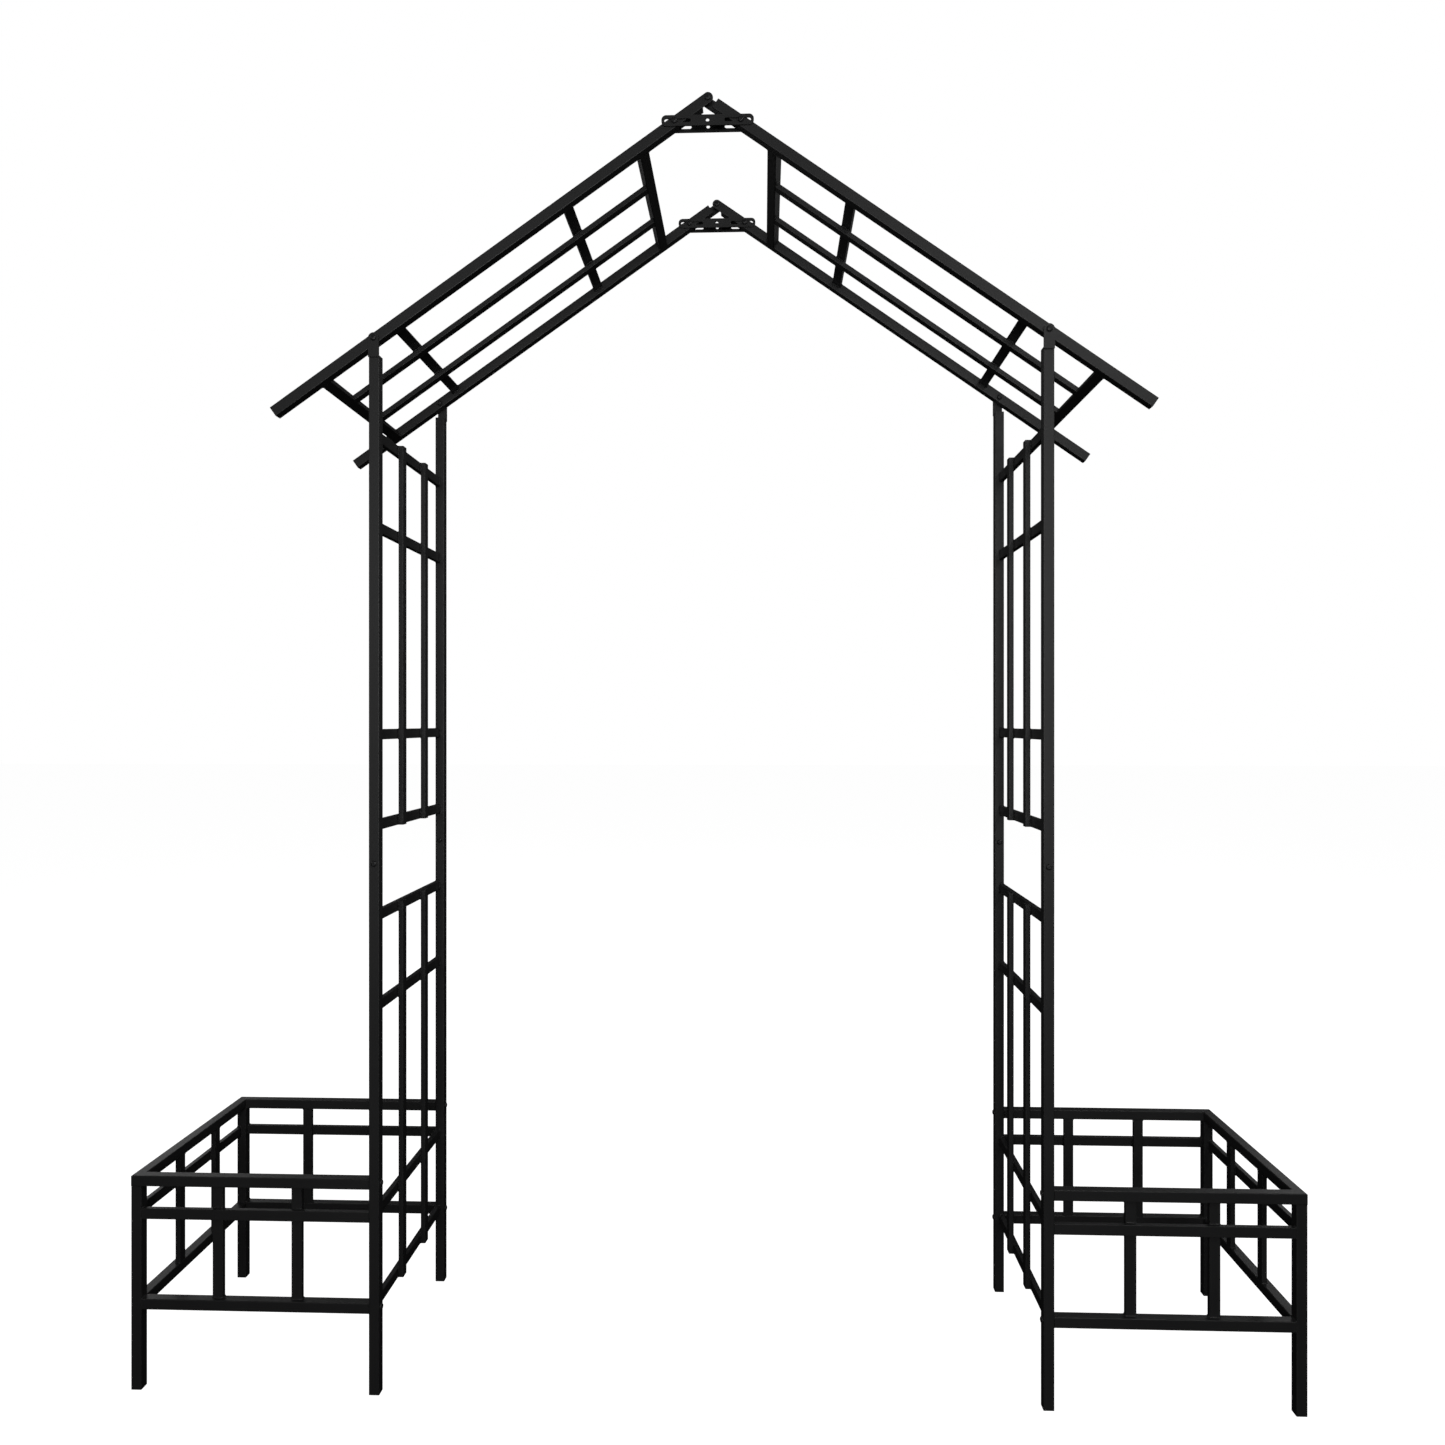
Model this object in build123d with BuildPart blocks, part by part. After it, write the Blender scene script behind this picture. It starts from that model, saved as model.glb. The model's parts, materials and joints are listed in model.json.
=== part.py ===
from build123d import *

import os
from math import cos, radians, sin

# Metal trellis arch: two lattice side frames, each with an open planter frame, carry a
# pitched roof of two hinged panels. Millimetres, +Z up. The origin lies on the ground,
# midway between the side frames. -Y is the front, X runs across the passage.

# ---------------------------------------------------------------- driving dimensions
# Tube stock. The flat tube is as wide as the square tube and half as thick.
tube = 20.0
flat = tube / 2
tube_wall = 1.5
flat_wall = 1.0
tube_corner = 1.5
flat_corner = 1.0

# Plan of the arch, from its two symmetry planes.
post_x = 625.4
leg_x = 1079.9
half_depth = 216.8
bar_y = 70.5

# Heights of the side frames.
post_top = 1947.2
splice_z = 980.0
lower_panel = (151.4, 903.6)
upper_panel = (1055.4, 1812.4)
panel_step = 171.7
planter_top = 404.0
planter_mid_top = 342.3

# Roof. Lengths along the slope are measured from the apex bolt.
pitch = 35.0
pivot_z = 1979.1
rail_length = 999.2
roof_panel = (141.5, 898.6)
rail_start = 17.5
brace_bolt_s = 75.2

# Sheet parts.
tab_thickness = 3.5
tab_overlap = 3.7
brace_length = 171.2
brace_height = 20.0
brace_end_radius = 8.8
brace_thickness = 2.5
slot_inner = 31.0
slot_outer = 80.3
slot_width = 7.0
brace_hole_radius = 3.35

# M6 fasteners with domed socket heads.
bolt_radius = 3.0
head_radius = 5.8
head_height = 3.3
head_rim = 0.9
head_land = 0.85
socket_radius = 2.3
socket_depth = 1.8
nut_flats = 10.0
nut_height = 4.6
nut_chamfer = 0.5
thread_gap = 0.05
thread_end = 0.6
splice_bolt_above = 15.0

# Gaps and fits.
fixed_hole_radius = 3.15
running_hole_radius = 3.08
side_gap = 0.35

# Pieces inside the tubes.
sleeve_side = 16.6
sleeve_wall = 1.5
sleeve_corner = 1.0
sleeve_below = 70.0
sleeve_above = 50.0
insert_length = 14.0
plug_length = 15.0
plug_side = 16.8
plug_core = 12.0
plug_corner = 0.6
plug_face = 3.0
plug_rib = 1.6

# ---------------------------------------------------------------- derived dimensions
inner_half_depth = half_depth - tube
post_y = half_depth - tube / 2
post_outer_x = post_x + tube / 2
post_inner_x = post_x - tube / 2
lattice_x = post_x + flat / 2
bar_x = post_x - flat / 2
outer_x = leg_x + tube / 2
leg_inner_x = leg_x - tube / 2

rail_y = post_y - side_gap
rail_inner_y = rail_y - tube / 2
rail_outer_y = rail_y + tube / 2
tab_outer_y = half_depth + tab_thickness
plate_outer_y = rail_outer_y + side_gap + brace_thickness
plate_inner_y = rail_inner_y - side_gap - brace_thickness

low_rail_z = lower_panel[0] + tube / 2
top_rail_z = planter_top - tube / 2
mid_rail_z = planter_mid_top - tube / 2
splice_bolt_z = splice_z + splice_bolt_above
slope_cos = cos(radians(pitch))
slope_sin = sin(radians(pitch))
pivot_s = post_x / slope_cos
apex_z = pivot_z + pivot_s * slope_sin
brace_z = apex_z - brace_bolt_s * slope_sin

# Planter bars divide the clear width between post and leg into three equal gaps.
planter_gap = (leg_inner_x - post_outer_x - 2 * tube) / 3
planter_bar_x = (
    post_outer_x + planter_gap + tube / 2,
    leg_inner_x - planter_gap - tube / 2,
)

SIDES = {"left": -1, "right": 1}
TRUSSES = {"front": -1, "rear": 1}
ROOFS = {"left_roof": 1, "right_roof": -1}
FRONTWARD = (0, -1, 0)
REARWARD = (0, 1, 0)
os.makedirs("parts", exist_ok=True)


def save(part, name):
    """Label one finished sub-part and write its STEP file."""
    part.label = name
    export_step(part, f"parts/{name}.step")


# ---------------------------------------------------------------- profiles and planes
def tube_profile(width=tube, height=tube, wall=tube_wall, corner=tube_corner):
    """Hollow rounded rectangle, drawn into the sketch that is open."""
    RectangleRounded(width, height, corner)
    inner_corner = max(corner - wall, 0.3)
    RectangleRounded(width - 2 * wall, height - 2 * wall, inner_corner, mode=Mode.SUBTRACT)


def flat_profile(width, height):
    """Hollow profile of the flat tube, drawn into the sketch that is open."""
    tube_profile(width, height, flat_wall, flat_corner)


def slope_side(turn, y):
    """Plane beside a roof panel: x runs down the slope from the apex, y square to it."""
    return Plane(
        origin=(0, turn * y, apex_z),
        x_dir=(-turn * slope_cos, 0, -slope_sin),
        z_dir=(0, turn, 0),
    )


def slope_section(turn, along, y):
    """Plane across a rail at one distance from the apex, its normal down the slope."""
    return Plane(
        origin=(-turn * along * slope_cos, turn * y, apex_z - along * slope_sin),
        x_dir=(0, -turn, 0),
        z_dir=(-turn * slope_cos, 0, -slope_sin),
    )


def cross_levels(panel):
    """Centres of the four cross members of a lattice panel."""
    low = panel[0] + tube / 2
    high = panel[1] - tube / 2
    return low, low + panel_step, high - panel_step, high


def stack_faces(truss, inner, outer):
    """Front and rear face of a stack that lies between two distances from mid-depth."""
    return (-outer, -inner) if truss < 0 else (inner, outer)


def facing(x, y, z, direction):
    """Place for a fastener whose head or nut points along the given direction."""
    return Plane(origin=(x, y, z), z_dir=direction).location


def tube_end(x, y, z, inward):
    """Place for a piece set into the end of a tube, with its length running inward."""
    return Plane(origin=(x, y, z), x_dir=(0, 1, 0), z_dir=inward).location


# ---------------------------------------------------------------- shared small pieces
def make_bolt(grip):
    """Domed socket screw along Z: the head stands on Z = 0, the shank runs down."""
    crown = socket_radius + head_land
    with BuildPart() as screw:
        with BuildSketch(Plane.XZ):
            with BuildLine():
                Polyline((crown, head_height), (0, head_height), (0, 0), (head_radius, 0))
                Line((head_radius, 0), (head_radius, head_rim))
                ThreePointArc(
                    (head_radius, head_rim),
                    (head_radius - head_land, head_height * 0.72),
                    (crown, head_height),
                )
            make_face()
        revolve(axis=Axis.Z)
        with BuildSketch(Plane.XY):
            Circle(bolt_radius)
        extrude(amount=-grip)
        with BuildSketch(Plane.XY.offset(head_height)):
            RegularPolygon(socket_radius, 6)
        extrude(amount=-socket_depth, mode=Mode.SUBTRACT)
    return screw.part


def make_nut():
    """Hexagon nut standing on Z = 0, its corners chamfered at both ends."""
    corner = nut_flats / 3**0.5
    with BuildPart() as hexagon:
        with BuildSketch():
            RegularPolygon(corner, 6)
            Circle(bolt_radius + thread_gap, mode=Mode.SUBTRACT)
        extrude(amount=nut_height)
        with BuildSketch(Plane.XZ):
            with BuildLine():
                Polyline(
                    (0, 0),
                    (nut_flats / 2, 0),
                    (corner, nut_chamfer),
                    (corner, nut_height - nut_chamfer),
                    (nut_flats / 2, nut_height),
                    (0, nut_height),
                    close=True,
                )
            make_face()
        revolve(axis=Axis.Z, mode=Mode.INTERSECT)
    return hexagon.part


def make_plug():
    """Ribbed plastic plug for a square tube end, its closed face on Z = 0."""
    with BuildPart() as ribbed:
        with BuildSketch():
            RectangleRounded(plug_side, plug_side, plug_corner)
        extrude(amount=plug_face)
        with BuildSketch():
            RectangleRounded(plug_core, plug_core, plug_corner)
        extrude(amount=plug_length)
        for level in (plug_length * 0.5, plug_length - plug_rib):
            with BuildSketch(Plane.XY.offset(level)):
                RectangleRounded(plug_side, plug_side, plug_corner)
            extrude(amount=plug_rib)
    return ribbed.part


def make_insert():
    """Threaded block that closes the inner end of a planter rail."""
    with BuildPart() as block:
        with BuildSketch():
            RectangleRounded(sleeve_side, sleeve_side, plug_corner)
            Circle(bolt_radius + thread_gap, mode=Mode.SUBTRACT)
        extrude(amount=insert_length)
    return block.part


tube_grip = tube + nut_height + thread_end
tube_bolt = make_bolt(tube_grip)
apex_bolt = make_bolt(tube_grip + side_gap)
pivot_bolt = make_bolt(tube_grip + tab_thickness + 2 * side_gap)
brace_bolt = make_bolt(tube_grip + 2 * brace_thickness + 4 * side_gap)
planter_bolt = make_bolt(tube + insert_length - thread_end)
hex_nut = make_nut()
tube_plug = make_plug()
rail_insert = make_insert()

# ---------------------------------------------------------------- side frames
for side, sign in SIDES.items():
    # Posts: the lower and upper length meet end to end over a sleeve.
    for truss, face in TRUSSES.items():
        with BuildPart() as lower_post:
            with BuildSketch(Plane.XY):
                with Locations((sign * post_x, face * post_y)):
                    tube_profile()
            extrude(amount=splice_z)
            with BuildSketch(Plane.YZ.offset(sign * post_outer_x)):
                with Locations((face * post_y, low_rail_z), (face * post_y, top_rail_z)):
                    Circle(fixed_hole_radius)
            extrude(amount=-sign * tube, mode=Mode.SUBTRACT)
        save(lower_post.part, f"{side}_{truss}_lower_post")

        with BuildPart() as upper_post:
            with BuildSketch(Plane.XY.offset(splice_z)):
                with Locations((sign * post_x, face * post_y)):
                    tube_profile()
            extrude(amount=post_top - splice_z)
            with BuildSketch(Plane.XZ.offset(-face * half_depth)):
                with Locations((sign * post_x, splice_bolt_z)):
                    Circle(fixed_hole_radius)
            extrude(amount=face * tube, mode=Mode.SUBTRACT)
        save(upper_post.part, f"{side}_{truss}_upper_post")

    with BuildPart() as splice_sleeves:
        with BuildSketch(Plane.XY.offset(splice_z - sleeve_below)):
            with Locations((sign * post_x, -post_y), (sign * post_x, post_y)):
                tube_profile(sleeve_side, sleeve_side, sleeve_wall, sleeve_corner)
        extrude(amount=sleeve_below + sleeve_above)
        with BuildSketch(Plane.XZ.offset(half_depth)):
            with Locations((sign * post_x, splice_bolt_z)):
                Circle(fixed_hole_radius)
        extrude(amount=-2 * half_depth, mode=Mode.SUBTRACT)
    save(splice_sleeves.part, f"{side}_splice_sleeves")

    # Lattice: crossbars on the outer half of the posts, uprights on the inner half.
    for name, panel in (("upper", upper_panel), ("lower", lower_panel)):
        with BuildPart() as crossbars:
            with BuildSketch(Plane.XZ.offset(inner_half_depth)):
                with Locations(*[(sign * lattice_x, level) for level in cross_levels(panel)]):
                    flat_profile(flat, tube)
            extrude(amount=-2 * inner_half_depth)
        save(crossbars.part, f"{side}_{name}_crossbars")

        with BuildPart() as uprights:
            with BuildSketch(Plane.XY.offset(panel[0])):
                with Locations((sign * bar_x, -bar_y), (sign * bar_x, bar_y)):
                    flat_profile(flat, tube)
            extrude(amount=panel[1] - panel[0])
        save(uprights.part, f"{side}_{name}_bars")

    # Pivot tabs: round-headed plates welded to the outer faces of the post tops.
    with BuildPart() as pivot_tabs:
        for face in TRUSSES.values():
            with BuildSketch(Plane.XZ.offset(-face * half_depth)):
                with Locations((sign * post_x, pivot_z)):
                    Circle(tube / 2)
                    tab_drop = pivot_z - post_top + tab_overlap
                    Rectangle(tube, tab_drop, align=(Align.CENTER, Align.MAX))
                    Circle(fixed_hole_radius, mode=Mode.SUBTRACT)
            extrude(amount=-face * tab_thickness)
    save(pivot_tabs.part, f"{side}_pivot_tabs")

    # Planter frame: legs, mitred top rails, thin middle rails, low rails and uprights.
    with BuildPart() as planter_legs:
        with BuildSketch(Plane.XY):
            with Locations((sign * leg_x, -post_y), (sign * leg_x, post_y)):
                tube_profile()
        extrude(amount=planter_top - tube)
    save(planter_legs.part, f"{side}_planter_legs")

    for truss, face in TRUSSES.items():
        with BuildPart() as end_rails:
            with BuildSketch(Plane.YZ.offset(sign * post_outer_x)):
                with Locations((face * post_y, top_rail_z)):
                    tube_profile()
            extrude(amount=sign * (outer_x - post_outer_x))
            with BuildSketch(Plane.XY.offset(planter_top)):
                with BuildLine():
                    Polyline(
                        (sign * outer_x, face * half_depth),
                        (sign * outer_x, face * inner_half_depth),
                        (sign * leg_inner_x, face * inner_half_depth),
                        close=True,
                    )
                make_face()
            extrude(amount=-tube, mode=Mode.SUBTRACT)
            with BuildSketch(Plane.YZ.offset(sign * post_outer_x)):
                with Locations((face * post_y, low_rail_z)):
                    tube_profile()
                with Locations((face * (half_depth - flat / 2), mid_rail_z)):
                    flat_profile(flat, tube)
            extrude(amount=sign * (leg_inner_x - post_outer_x))
        save(end_rails.part, f"{side}_planter_{truss}_rails")

    with BuildPart() as side_rails:
        with BuildSketch(Plane.XZ.offset(half_depth)):
            with Locations((sign * leg_x, top_rail_z)):
                tube_profile()
        extrude(amount=-2 * half_depth)
        with BuildSketch(Plane.XY.offset(planter_top)):
            for face in TRUSSES.values():
                with BuildLine():
                    Polyline(
                        (sign * outer_x, face * half_depth),
                        (sign * leg_inner_x, face * half_depth),
                        (sign * leg_inner_x, face * inner_half_depth),
                        close=True,
                    )
                make_face()
        extrude(amount=-tube, mode=Mode.SUBTRACT)
        with BuildSketch(Plane.XZ.offset(inner_half_depth)):
            with Locations((sign * leg_x, low_rail_z)):
                tube_profile()
            with Locations((sign * (outer_x - flat / 2), mid_rail_z)):
                flat_profile(flat, tube)
        extrude(amount=-2 * inner_half_depth)
    save(side_rails.part, f"{side}_planter_side_rails")

    with BuildPart() as planter_bars:
        with BuildSketch(Plane.XY.offset(low_rail_z + tube / 2)):
            for face in TRUSSES.values():
                for x in planter_bar_x:
                    with Locations((sign * x, face * (inner_half_depth + flat / 2))):
                        flat_profile(tube, flat)
                with Locations((sign * (leg_inner_x + flat / 2), face * bar_y)):
                    flat_profile(flat, tube)
        extrude(amount=planter_top - 2 * tube - low_rail_z + tube / 2)
    save(planter_bars.part, f"{side}_planter_bars")

    # Pieces inside the tubes: threaded inserts in the rail ends, plugs in the feet.
    with BuildPart() as planter_inserts:
        for face in TRUSSES.values():
            for level in (low_rail_z, top_rail_z):
                with Locations(tube_end(sign * post_outer_x, face * post_y, level, (sign, 0, 0))):
                    add(rail_insert)
    save(planter_inserts.part, f"{side}_planter_inserts")

    with BuildPart() as foot_plugs:
        for face in TRUSSES.values():
            for x in (post_x, leg_x):
                with Locations(tube_end(sign * x, face * post_y, 0, (0, 0, 1))):
                    add(tube_plug)
    save(foot_plugs.part, f"{side}_foot_plugs")

    # Fasteners. Planter screws enter from the passage, all others from the front.
    with BuildPart() as frame_bolts:
        for face in TRUSSES.values():
            front_y, rear_y = stack_faces(face, inner_half_depth, half_depth)
            with Locations(facing(sign * post_x, front_y, splice_bolt_z, FRONTWARD)):
                add(tube_bolt)
            for level in (low_rail_z, top_rail_z):
                with Locations(facing(sign * post_inner_x, face * post_y, level, (-sign, 0, 0))):
                    add(planter_bolt)
    save(frame_bolts.part, f"{side}_frame_bolts")

    with BuildPart() as pivot_bolts:
        for face in TRUSSES.values():
            front_y, rear_y = stack_faces(face, rail_inner_y - side_gap, tab_outer_y)
            with Locations(facing(sign * post_x, front_y, pivot_z, FRONTWARD)):
                add(pivot_bolt)
    save(pivot_bolts.part, f"{side}_pivot_bolts")

    with BuildPart() as frame_nuts:
        for face in TRUSSES.values():
            front_y, rear_y = stack_faces(face, inner_half_depth, half_depth)
            with Locations(facing(sign * post_x, rear_y, splice_bolt_z, REARWARD)):
                add(hex_nut)
            front_y, rear_y = stack_faces(face, rail_inner_y - side_gap, tab_outer_y)
            with Locations(facing(sign * post_x, rear_y, pivot_z, REARWARD)):
                add(hex_nut)
    save(frame_nuts.part, f"{side}_frame_nuts")

# ---------------------------------------------------------------- roof panels
# The rails are cut square below the ridge. One wall of each runs on as a round-headed ear
# about the apex bolt: the outer wall on the left panel, the inner wall on the right one,
# so the right panel's ears lie between the left panel's ears.
slat_levels = cross_levels(roof_panel)

for roof, turn in ROOFS.items():
    for truss, face in TRUSSES.items():
        panel_y = turn * face * rail_y
        apex_hole_radius = fixed_hole_radius if turn > 0 else running_hole_radius
        with BuildPart() as rail:
            with BuildSketch(slope_section(turn, -tube / 2, panel_y)):
                tube_profile()
            extrude(amount=rail_length + tube / 2)
            with BuildSketch(slope_side(turn, panel_y - tube / 2)):
                Circle(tube / 2)
                Rectangle(rail_length, tube, align=(Align.MIN, Align.CENTER))
            extrude(amount=tube, mode=Mode.INTERSECT)
            with BuildSketch(slope_section(turn, -tube, panel_y)):
                with Locations((face * tube_wall, 0)):
                    Rectangle(tube, 2 * tube)
            extrude(amount=tube + rail_start, mode=Mode.SUBTRACT)
            with BuildSketch(slope_side(turn, panel_y - tube / 2)):
                Circle(apex_hole_radius)
                with Locations((brace_bolt_s, 0)):
                    Circle(fixed_hole_radius)
                with Locations((pivot_s, 0)):
                    Circle(running_hole_radius)
            extrude(amount=tube, mode=Mode.SUBTRACT)
        save(rail.part, f"{roof}_{truss}_rail")

    # Slats between the rails: square tube at both ends, flat tube in the upper half
    # between them. Rods of flat tube run down the slope in the lower half.
    with BuildPart() as end_slats:
        with BuildSketch(slope_side(turn, -rail_inner_y)):
            with Locations((slat_levels[0], 0), (slat_levels[3], 0)):
                tube_profile()
        extrude(amount=2 * rail_inner_y)
    save(end_slats.part, f"{roof}_end_slats")

    with BuildPart() as cross_slats:
        with BuildSketch(slope_side(turn, -rail_inner_y)):
            with Locations((slat_levels[1], flat / 2), (slat_levels[2], flat / 2)):
                flat_profile(tube, flat)
        extrude(amount=2 * rail_inner_y)
    save(cross_slats.part, f"{roof}_cross_slats")

    with BuildPart() as rods:
        with BuildSketch(slope_section(turn, roof_panel[0] + tube, 0)):
            with Locations((-bar_y, -flat / 2), (bar_y, -flat / 2)):
                flat_profile(tube, flat)
        extrude(amount=roof_panel[1] - roof_panel[0] - 2 * tube)
    save(rods.part, f"{roof}_rods")

    with BuildPart() as rail_plugs:
        for face in TRUSSES.values():
            end_x = -turn * rail_length * slope_cos
            end_z = apex_z - rail_length * slope_sin
            inward = (turn * slope_cos, 0, slope_sin)
            with Locations(tube_end(end_x, face * rail_y, end_z, inward)):
                add(tube_plug)
    save(rail_plugs.part, f"{roof}_rail_plugs")

    # Fasteners: brace screws in both rails. The apex screws are fast in the left panel.
    apex_stacks = []
    if turn > 0:
        apex_stacks = [
            stack_faces(face, rail_inner_y - side_gap, rail_outer_y) for face in TRUSSES.values()
        ]
    brace_stacks = [
        stack_faces(face, plate_inner_y - side_gap, plate_outer_y + side_gap)
        for face in TRUSSES.values()
    ]
    brace_x = -turn * brace_bolt_s * slope_cos

    with BuildPart() as roof_bolts:
        for front_y, rear_y in apex_stacks:
            with Locations(facing(0, front_y, apex_z, FRONTWARD)):
                add(apex_bolt)
        for front_y, rear_y in brace_stacks:
            with Locations(facing(brace_x, front_y, brace_z, FRONTWARD)):
                add(brace_bolt)
    save(roof_bolts.part, f"{roof}_bolts")

    with BuildPart() as roof_nuts:
        for front_y, rear_y in apex_stacks:
            with Locations(facing(0, rear_y, apex_z, REARWARD)):
                add(hex_nut)
        for front_y, rear_y in brace_stacks:
            with Locations(facing(brace_x, rear_y, brace_z, REARWARD)):
                add(hex_nut)
    save(roof_nuts.part, f"{roof}_nuts")

# ---------------------------------------------------------------- ridge braces
# Slotted plates on both faces of each truss. The screws slide in the slots.
slot_middle = (slot_inner + slot_outer) / 2

for truss, face in TRUSSES.items():
    with BuildPart() as ridge_braces:
        for plate_y in (plate_outer_y, plate_inner_y + brace_thickness):
            with BuildSketch(Plane.XZ.offset(-face * plate_y)):
                with Locations((0, brace_z)):
                    RectangleRounded(brace_length, brace_height, brace_end_radius)
                    Circle(brace_hole_radius, mode=Mode.SUBTRACT)
                for x in (-slot_middle, slot_middle):
                    with Locations((x, brace_z)):
                        SlotOverall(slot_outer - slot_inner, slot_width, mode=Mode.SUBTRACT)
            extrude(amount=face * brace_thickness)
    save(ridge_braces.part, f"{truss}_ridge_braces")
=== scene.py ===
import json
import math
from random import Random

import bmesh
import bpy
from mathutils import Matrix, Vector


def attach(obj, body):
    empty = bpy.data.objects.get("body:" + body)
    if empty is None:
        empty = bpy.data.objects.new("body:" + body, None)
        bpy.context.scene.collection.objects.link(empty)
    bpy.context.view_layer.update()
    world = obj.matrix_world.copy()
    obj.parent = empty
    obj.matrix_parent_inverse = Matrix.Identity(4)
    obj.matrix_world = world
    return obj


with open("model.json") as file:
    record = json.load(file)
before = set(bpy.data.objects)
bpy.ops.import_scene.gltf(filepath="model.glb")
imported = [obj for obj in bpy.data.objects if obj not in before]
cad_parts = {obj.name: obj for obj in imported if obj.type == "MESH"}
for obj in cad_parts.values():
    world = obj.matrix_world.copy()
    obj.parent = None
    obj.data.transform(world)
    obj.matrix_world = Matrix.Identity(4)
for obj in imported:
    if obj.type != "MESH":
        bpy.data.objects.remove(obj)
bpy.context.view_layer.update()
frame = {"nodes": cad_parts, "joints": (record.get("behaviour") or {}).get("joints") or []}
scene = bpy.context.scene
nodes = frame["nodes"]

# ---------------------------------------------------------------- camera
EYE = (0.1015, -2.2178, 1.2596)
TURN = 0.0369
SENSOR = 36.0
LENS = 26.967

camera_data = bpy.data.cameras.new("camera")
camera_data.sensor_width = SENSOR
camera_data.lens = LENS
camera = bpy.data.objects.new("camera", camera_data)
camera.location = EYE
camera.rotation_euler = (math.pi / 2, 0, TURN)
scene.collection.objects.link(camera)
scene.camera = camera
scene.view_settings.view_transform = "Standard"


# ---------------------------------------------------------------- materials
def new_material(name):
    """An empty node material with a Principled shader; returns it, its tree and shader."""
    material = bpy.data.materials.new(name)
    material.use_nodes = True
    tree = material.node_tree
    return material, tree, tree.nodes["Principled BSDF"]


def ramp(tree, source, low, high, colour_low, colour_high):
    """Colour ramp over one stretch of a value."""
    node = tree.nodes.new("ShaderNodeValToRGB")
    node.color_ramp.elements[0].position = low
    node.color_ramp.elements[0].color = (*colour_low, 1)
    node.color_ramp.elements[1].position = high
    node.color_ramp.elements[1].color = (*colour_high, 1)
    tree.links.new(source, node.inputs["Fac"])
    return node.outputs["Color"]


def noise(tree, vector, scale, detail, roughness=0.55):
    """Noise texture over a vector; returns its value."""
    node = tree.nodes.new("ShaderNodeTexNoise")
    node.inputs["Scale"].default_value = scale
    node.inputs["Detail"].default_value = detail
    node.inputs["Roughness"].default_value = roughness
    tree.links.new(vector, node.inputs["Vector"])
    return node.outputs["Fac"]


def map_range(tree, source, from_low, from_high, to_low, to_high):
    """Linear remap of a value, clamped."""
    node = tree.nodes.new("ShaderNodeMapRange")
    node.inputs["From Min"].default_value = from_low
    node.inputs["From Max"].default_value = from_high
    node.inputs["To Min"].default_value = to_low
    node.inputs["To Max"].default_value = to_high
    tree.links.new(source, node.inputs["Value"])
    return node.outputs["Result"]


def mix_colour(tree, share, a, b):
    """Mix of two colours by a share; a and b are sockets."""
    node = tree.nodes.new("ShaderNodeMix")
    node.data_type = "RGBA"
    tree.links.new(share, node.inputs["Factor"])
    tree.links.new(a, node.inputs["A"])
    tree.links.new(b, node.inputs["B"])
    return node.outputs["Result"]


def edge_mask(tree, radius):
    """Bright near convex edges: how far the rounded normal leans from the face's own."""
    bevel = tree.nodes.new("ShaderNodeBevel")
    bevel.samples = 4
    bevel.inputs["Radius"].default_value = radius
    geometry = tree.nodes.new("ShaderNodeNewGeometry")
    dot = tree.nodes.new("ShaderNodeVectorMath")
    dot.operation = "DOT_PRODUCT"
    tree.links.new(bevel.outputs["Normal"], dot.inputs[0])
    tree.links.new(geometry.outputs["True Normal"], dot.inputs[1])
    return map_range(tree, dot.outputs["Value"], 1.0, 0.75, 0.0, 1.0)


def fine_bump(tree, shader, height, strength, distance):
    """Bump from a value, on the shader's normal."""
    bump = tree.nodes.new("ShaderNodeBump")
    bump.inputs["Strength"].default_value = strength
    bump.inputs["Distance"].default_value = distance
    tree.links.new(height, bump.inputs["Height"])
    tree.links.new(bump.outputs["Normal"], shader.inputs["Normal"])


def scaled(colour, factor):
    """A colour made brighter or darker."""
    return tuple(factor * channel for channel in colour)


# How the powder coat varies: cloud size and spread, grain, and the painted highlight and wear on
# its edges as factors of its colour.
CLOUD_SCALE = 7.0
SPECK_SCALE = 2.2
CLOUD_SPREAD = (0.96, 1.04)
GRAIN_SPREAD = (0.90, 1.12)
# Edges are painted paler: a painted highlight where rounded corners catch light, also standing for
# wear.
EDGE_HIGHLIGHT_AND_WEAR_SPREAD = (0.95, 1.35)
GRAIN_SHARE = 0.4
EDGE_RADIUS = 0.0012
GLOSS_SPREAD = 0.035
PEEL_STRENGTH = 0.2


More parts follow.
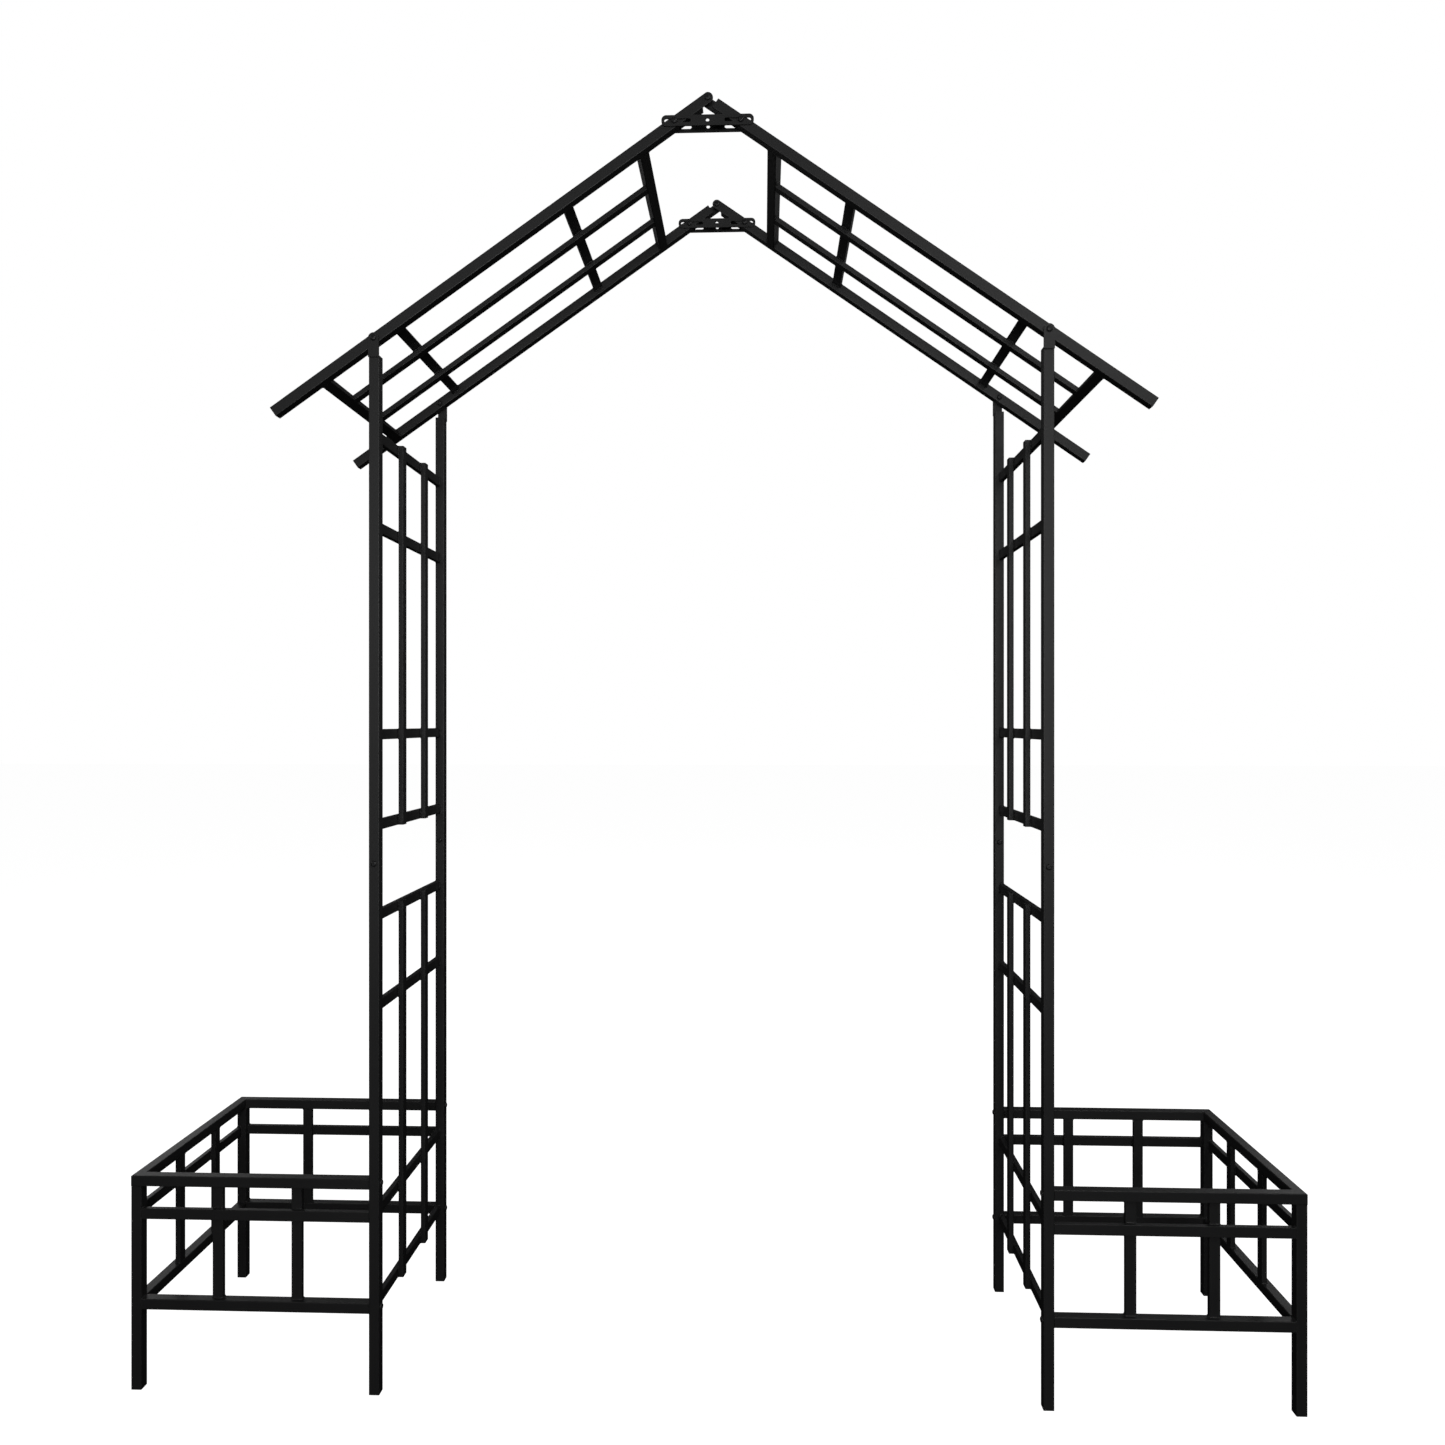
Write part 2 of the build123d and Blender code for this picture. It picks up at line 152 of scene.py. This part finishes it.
def powder_coat(name, colour, peel_scale, roughness, peel_depth, shift):
    """Black powder coat: orange-peel grain, faint clouding, edges painted a little paler as a
    highlight and as wear.
    """
    material, tree, shader = new_material(name)
    coordinates = tree.nodes.new("ShaderNodeTexCoord")
    place = tree.nodes.new("ShaderNodeMapping")
    place.inputs["Location"].default_value = (shift, shift * 0.7, shift * 0.4)
    tree.links.new(coordinates.outputs["Object"], place.inputs["Vector"])
    where = place.outputs["Vector"]
    cloud = noise(tree, where, CLOUD_SCALE, 4.0)
    speck = noise(tree, where, SPECK_SCALE * peel_scale, 3.0, 0.7)
    peel = noise(tree, where, peel_scale, 2.0)
    base = ramp(tree, cloud, 0.3, 0.7, *(scaled(colour, factor) for factor in CLOUD_SPREAD))
    grain = ramp(tree, speck, 0.3, 0.7, *(scaled(colour, factor) for factor in GRAIN_SPREAD))
    coat = tree.nodes.new("ShaderNodeMix")
    coat.data_type = "RGBA"
    coat.inputs["Factor"].default_value = GRAIN_SHARE
    tree.links.new(base, coat.inputs["A"])
    tree.links.new(grain, coat.inputs["B"])
    # Paler edge colour: a painted highlight where corners catch light, also edge wear.
    edge_highlight_and_wear = ramp(tree, speck, 0.3, 0.75, *(scaled(colour, factor) for factor in EDGE_HIGHLIGHT_AND_WEAR_SPREAD))
    mixed = mix_colour(tree, edge_mask(tree, EDGE_RADIUS), coat.outputs["Result"], edge_highlight_and_wear)
    tree.links.new(mixed, shader.inputs["Base Color"])
    smooth, rough = roughness - GLOSS_SPREAD, roughness + GLOSS_SPREAD
    gloss = map_range(tree, cloud, 0.25, 0.75, smooth, rough)
    tree.links.new(gloss, shader.inputs["Roughness"])
    shader.inputs["Specular IOR Level"].default_value = 0.5
    fine_bump(tree, shader, peel, PEEL_STRENGTH, peel_depth)
    return material


COAT = (0.0198, 0.0198, 0.0202)
frame_coat = powder_coat("frame_coat", COAT, 700.0, 0.42, 0.00004, 0.0)
roof_coat = powder_coat("roof_coat", COAT, 700.0, 0.42, 0.00004, 3.1)
plate_coat = powder_coat("plate_coat", COAT, 900.0, 0.40, 0.00003, 6.3)
weld_coat = powder_coat("weld_coat", COAT, 500.0, 0.44, 0.00010, 9.7)


def hardware_material():
    """Blackened steel: satin, with fine tool marks and brighter worn edges."""
    material, tree, shader = new_material("black_steel")
    coordinates = tree.nodes.new("ShaderNodeTexCoord")
    where = coordinates.outputs["Object"]
    cloud = noise(tree, where, 120.0, 3.0)
    marks = noise(tree, where, 2500.0, 2.0, 0.7)
    base = ramp(tree, cloud, 0.3, 0.7, (0.019, 0.019, 0.020), (0.027, 0.027, 0.028))
    worn = ramp(tree, marks, 0.2, 0.8, (0.030, 0.030, 0.032), (0.085, 0.085, 0.09))
    colour = mix_colour(tree, edge_mask(tree, 0.0004), base, worn)
    tree.links.new(colour, shader.inputs["Base Color"])
    gloss = map_range(tree, marks, 0.3, 0.7, 0.29, 0.37)
    tree.links.new(gloss, shader.inputs["Roughness"])
    fine_bump(tree, shader, marks, 0.25, 0.00003)
    return material


def plastic_material():
    """Matte black plastic with a moulded grain."""
    material, tree, shader = new_material("black_plastic")
    coordinates = tree.nodes.new("ShaderNodeTexCoord")
    where = coordinates.outputs["Object"]
    grain = noise(tree, where, 1800.0, 3.0, 0.6)
    scuff = noise(tree, where, 60.0, 4.0)
    colour = ramp(tree, scuff, 0.3, 0.75, (0.012, 0.012, 0.012), (0.022, 0.022, 0.021))
    tree.links.new(colour, shader.inputs["Base Color"])
    gloss = map_range(tree, grain, 0.3, 0.7, 0.6, 0.75)
    tree.links.new(gloss, shader.inputs["Roughness"])
    fine_bump(tree, shader, grain, 0.4, 0.0001)
    return material


black_steel = hardware_material()
black_plastic = plastic_material()


def material_for(name):
    """The finish of a CAD node, from what its name says it is."""
    if "bolts" in name or "nuts" in name:
        return black_steel
    if "plugs" in name:
        return black_plastic
    if "braces" in name or "tabs" in name:
        return plate_coat
    if "roof" in name:
        return roof_coat
    return frame_coat


for node_name, node in nodes.items():
    node.data.materials.clear()
    node.data.materials.append(material_for(node_name))

# ---------------------------------------------------------------- welds
# Wherever two members of one welded frame meet, a fillet of weld runs along each edge of
# the contact that has a face on both sides. The members' own boxes say where that is.
WELD_LEG = 0.0016
WELD_PITCH = 0.0016
WELD_ROOT = 0.2
WELD_TAPER = 0.6
WELD_RIPPLE = 0.07
TOUCH = 0.00006
WELD_ARC = ((1.0, 0.0), (0.83, 0.38), (0.6, 0.6), (0.38, 0.83), (0.0, 1.0))
WELD_PROFILE = ((1.0, -WELD_ROOT), *WELD_ARC, (-WELD_ROOT, 1.0), (-WELD_ROOT, -WELD_ROOT))

joint_places = {joint["name"]: Vector(joint["pos_m"]) for joint in frame["joints"]}
apex = joint_places["ridge_hinge"]


def member_boxes(node_name, origin, axes):
    """The box of each separate solid of a node, measured along the given axes."""
    mesh = nodes[node_name].data
    group = {}

    def root(key):
        while group[key] != key:
            group[key] = group[group[key]]
            key = group[key]
        return key

    places = [tuple(vertex.co) for vertex in mesh.vertices]
    for place in places:
        group[place] = place
    for edge in mesh.edges:
        first, second = (root(places[index]) for index in edge.vertices)
        group[first] = second
    boxes = {}
    for place in group:
        offset = Vector(place) - origin
        local = [axis.dot(offset) for axis in axes]
        low, high = boxes.setdefault(root(place), (list(local), list(local)))
        for i in range(3):
            low[i] = min(low[i], local[i])
            high[i] = max(high[i], local[i])
    return list(boxes.values())


def contact_edges(first, second):
    """Corner lines between two touching boxes: (run axis, ends, corner, directions)."""
    for k in range(3):
        i, j = (k + 1) % 3, (k + 2) % 3
        for below, above in ((first, second), (second, first)):
            level = above[0][k]
            if abs(below[1][k] - level) > TOUCH:
                continue
            low = [max(below[0][n], above[0][n]) for n in range(3)]
            high = [min(below[1][n], above[1][n]) for n in range(3)]
            if min(high[i] - low[i], high[j] - low[j]) < WELD_LEG:
                continue
            for across, along in ((i, j), (j, i)):
                for side, turn in ((0, -1), (1, 1)):
                    reach = turn * (above[side][across] - below[side][across])
                    if abs(reach) < WELD_LEG:
                        continue
                    corner = {across: (low, high)[side][across], k: level}
                    facing = {across: turn, k: -1 if reach > 0 else 1}
                    yield along, (low[along], high[along]), corner, facing


def add_bead(vertices, faces, run, ends, corner, facing, place, random):
    """Append one weld bead along a corner line to the lists of a mesh."""
    across = [axis for axis in range(3) if axis in corner]
    count = max(3, round((ends[1] - ends[0]) / WELD_PITCH))
    start = len(vertices)
    for ring in range(count + 1):
        size = WELD_LEG * (1 + WELD_RIPPLE * (-1) ** ring + random.uniform(-0.05, 0.05))
        if ring in (0, count):
            size *= WELD_TAPER
        for u, w in WELD_PROFILE:
            local = [0.0, 0.0, 0.0]
            local[run] = ends[0] + (ends[1] - ends[0]) * ring / count
            for axis, amount in zip(across, (u, w)):
                local[axis] = corner[axis] + facing[axis] * amount * size
            vertices.append(place(local))
    width = len(WELD_PROFILE)
    for ring in range(count):
        for n in range(width):
            a = start + ring * width + n
            b = start + ring * width + (n + 1) % width
            faces.append((a, b, b + width, a + width))
    faces.append(tuple(range(start, start + width)))
    faces.append(tuple(start + count * width + n for n in range(width)))


def make_welds(name, body, frames, origin, axes, seed):
    """One mesh with all the weld beads of one body's welded frames."""
    random = Random(seed)
    vertices = []
    faces = []

    def place(local):
        return origin + sum((axis * value for axis, value in zip(axes, local)), Vector())

    for members in frames:
        boxes = [box for member in members for box in member_boxes(member, origin, axes)]
        boxes.sort()
        for number, first in enumerate(boxes):
            for second in boxes[number + 1 :]:
                for run, ends, corner, facing in contact_edges(first, second):
                    add_bead(vertices, faces, run, ends, corner, facing, place, random)
    mesh = bpy.data.meshes.new(name)
    mesh.from_pydata(vertices, [], faces)
    shape = bmesh.new()
    shape.from_mesh(mesh)
    bmesh.ops.recalc_face_normals(shape, faces=shape.faces)
    shape.to_mesh(mesh)
    shape.free()
    for polygon in mesh.polygons:
        polygon.use_smooth = True
    mesh.materials.append(weld_coat)
    piece = bpy.data.objects.new(name, mesh)
    scene.collection.objects.link(piece)
    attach(piece, body)


WORLD_AXES = (Vector((1, 0, 0)), Vector((0, 1, 0)), Vector((0, 0, 1)))
SIDE_FRAME = (
    "front_lower_post front_upper_post rear_lower_post rear_upper_post "
    "lower_crossbars upper_crossbars lower_bars upper_bars"
).split()
PLANTER_FRAME = (
    "planter_legs planter_front_rails planter_rear_rails planter_side_rails planter_bars"
).split()
ROOF_FRAME = "front_rail rear_rail end_slats cross_slats rods".split()

for seed, side in enumerate(("left", "right")):
    side_frames = [
        [f"{side}_{member}" for member in names] for names in (SIDE_FRAME, PLANTER_FRAME)
    ]
    make_welds(f"{side}_side_welds", f"{side}_side", side_frames, Vector(), WORLD_AXES, seed)

for seed, (roof, pivot) in enumerate((("left_roof", "roof_pitch"), ("right_roof", "right_pivot"))):
    down = (joint_places[pivot] - apex).normalized()
    depth = Vector((0, 1, 0))
    roof_axes = (down, depth, down.cross(depth))
    roof_frames = [[f"{roof}_{member}" for member in ROOF_FRAME]]
    make_welds(f"{roof}_welds", f"{roof}_panel", roof_frames, apex, roof_axes, 10 + seed)

# ---------------------------------------------------------------- stage and light
FLOOR_SIZE = 60.0
floor_data = bpy.data.meshes.new("floor")
half = FLOOR_SIZE / 2
corners = [(-half, -half, 0), (half, -half, 0), (half, half, 0), (-half, half, 0)]
floor_data.from_pydata(corners, [], [(0, 1, 2, 3)])
floor = bpy.data.objects.new("floor", floor_data)
scene.collection.objects.link(floor)
floor.location.z = -0.0005
floor.visible_diffuse = False
floor.visible_glossy = False

floor_material, floor_tree, floor_shader = new_material("floor")
floor_shader.inputs["Base Color"].default_value = (0.8, 0.8, 0.8, 1)
floor_shader.inputs["Roughness"].default_value = 1.0
floor_shader.inputs["Specular IOR Level"].default_value = 0.0
floor_shader.inputs["Emission Color"].default_value = (1, 1, 1, 1)
floor_shader.inputs["Emission Strength"].default_value = 0.985
floor_data.materials.append(floor_material)

# Softboxes in the middle plane or on one side: place, height aimed at, width, power.
SOFTBOXES = {
    "key": ((0.0, -4.5, 1.4), 1.0, 1.4, 45.0),
    "accent": ((2.6, -3.0, 4.2), 1.6, 1.4, 25.0),
    "overhead_front": ((0.0, -4.5, 3.0), 1.6, 1.8, 8.0),
    "overhead_back": ((0.0, 3.2, 4.8), 1.6, 1.8, 1.0),
}
# Softboxes that stand on both sides of the arch.
PAIRED_SOFTBOXES = {
    "front": ((1.5, -4.5, 2.5), 1.6, 1.6, 7.0),
    "side": ((3.6, 0.0, 3.0), 1.6, 2.0, 7.0),
    "back": ((2.8, 3.4, 4.6), 1.6, 1.8, 14.0),
    "back_low": ((3.6, 3.6, 1.6), 1.2, 1.6, 8.0),
}


def softbox(name, place, aim_height, width, power):
    """A square area light that faces the middle of the arch."""
    light_data = bpy.data.lights.new(name, "AREA")
    light_data.shape = "SQUARE"
    light_data.size = width
    light_data.energy = power
    light = bpy.data.objects.new(name, light_data)
    light.location = place
    aim = Vector((0, 0, aim_height)) - Vector(place)
    light.rotation_euler = aim.to_track_quat("-Z", "Y").to_euler()
    scene.collection.objects.link(light)


for light_name, box in SOFTBOXES.items():
    softbox(light_name, *box)
for light_name, ((x, y, z), *box) in PAIRED_SOFTBOXES.items():
    softbox(f"{light_name}_right", (x, y, z), *box)
    softbox(f"{light_name}_left", (-x, y, z), *box)

# The backdrop is white where the camera sees it, and dim as a light.
WORLD_LIGHT = 0.004
world = bpy.data.worlds.new("world")
scene.world = world
world.use_nodes = True
world_tree = world.node_tree
world_tree.nodes.clear()
world_out = world_tree.nodes.new("ShaderNodeOutputWorld")
seen = world_tree.nodes.new("ShaderNodeBackground")
seen.inputs["Color"].default_value = (1, 1, 1, 1)
lit = world_tree.nodes.new("ShaderNodeBackground")
lit.inputs["Color"].default_value = (1, 1, 1, 1)
lit.inputs["Strength"].default_value = WORLD_LIGHT
path = world_tree.nodes.new("ShaderNodeLightPath")
blend = world_tree.nodes.new("ShaderNodeMixShader")
world_tree.links.new(path.outputs["Is Camera Ray"], blend.inputs["Fac"])
world_tree.links.new(lit.outputs["Background"], blend.inputs[1])
world_tree.links.new(seen.outputs["Background"], blend.inputs[2])
world_tree.links.new(blend.outputs["Shader"], world_out.inputs["Surface"])
